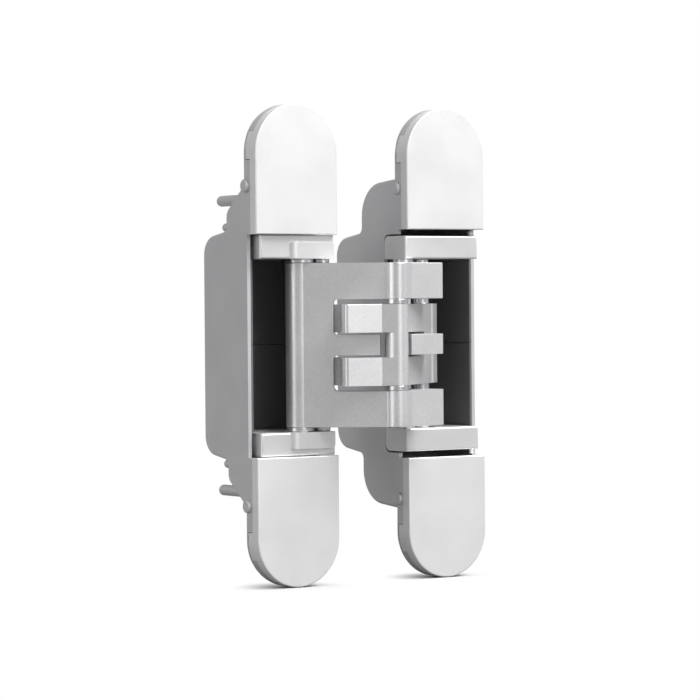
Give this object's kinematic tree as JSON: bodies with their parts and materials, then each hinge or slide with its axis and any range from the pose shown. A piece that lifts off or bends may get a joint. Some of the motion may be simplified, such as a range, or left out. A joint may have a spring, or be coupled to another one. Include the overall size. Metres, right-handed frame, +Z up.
{
  "type": "concealed door hinge",
  "caption": "Concealed door hinge with two mortised housings joined by crossed scissor arms, shown fully open.",
  "frame": {"origin": "centre of the frame half's fixing hole pattern, on the back face of its flange", "axes": "+Z up along the hinge height, -Y out of the open faces towards the viewer, +X from the frame half to the door half"},
  "size_m": [0.0652, 0.0423, 0.11],
  "materials": {
    "cast_housing": "satin grey lacquer over a zinc die casting",
    "satin_cover": "fine satin silver lacquer",
    "cast_block": "satin silver lacquer over a zinc die casting",
    "cast_arm": "satin silver lacquer over a zinc die casting",
    "black_liner": "matt moulded nylon",
    "turned_washer": "turned",
    "steel_pin": "ground"
  },
  "bodies": {
    "frame_side": {"frame_block_lower": "cast_block", "frame_block_upper": "cast_block", "frame_cover_lower": "satin_cover", "frame_cover_upper": "satin_cover", "frame_housing": "cast_housing", "frame_liner_lower": "black_liner", "frame_liner_upper": "black_liner", "frame_pivot_pin": "steel_pin", "frame_pivot_washers": "turned_washer"},
    "inner_link": {"inner_arm": "cast_arm", "centre_washers": "turned_washer", "door_slider_pin": "steel_pin", "door_slider_bushes": "turned_washer", "door_slider_spacers": "turned_washer", "frame_pivot_spacers": "turned_washer"},
    "outer_link": {"outer_arm": "cast_arm", "centre_pin": "steel_pin", "frame_slider_pin": "steel_pin", "frame_slider_bushes": "turned_washer", "frame_slider_washers": "turned_washer"},
    "door_side": {"door_block_lower": "cast_block", "door_block_upper": "cast_block", "door_cover_lower": "satin_cover", "door_cover_upper": "satin_cover", "door_height_screws": "steel_pin", "door_housing": "cast_housing", "door_liner_lower": "black_liner", "door_liner_upper": "black_liner", "door_pivot_pin": "steel_pin", "door_pivot_washers": "turned_washer"}
  },
  "joints": [
    {"name": "frame_pivot", "type": "hinge", "parent": "frame_side", "child": "inner_link", "pos_m": [0.0093, -0.0007, 0], "axis": [0, 0, 1], "range_deg": [-107.56, 0]},
    {"name": "centre_pivot", "type": "hinge", "parent": "inner_link", "child": "outer_link", "pos_m": [0.0208, -0.0145, 0], "axis": [0, 0, 1], "range_deg": [0, 35.12]},
    {"name": "door_pivot", "type": "hinge", "parent": "outer_link", "child": "door_side", "pos_m": [0.0323, -0.0007, 0], "axis": [0, 0, 1], "range_deg": [-107.56, 0]}
  ],
  "couplings": [
    {"joint": "centre_pivot", "follows": "frame_pivot", "ratio": -0.32655},
    {"joint": "door_pivot", "follows": "frame_pivot", "ratio": 1}
  ]
}
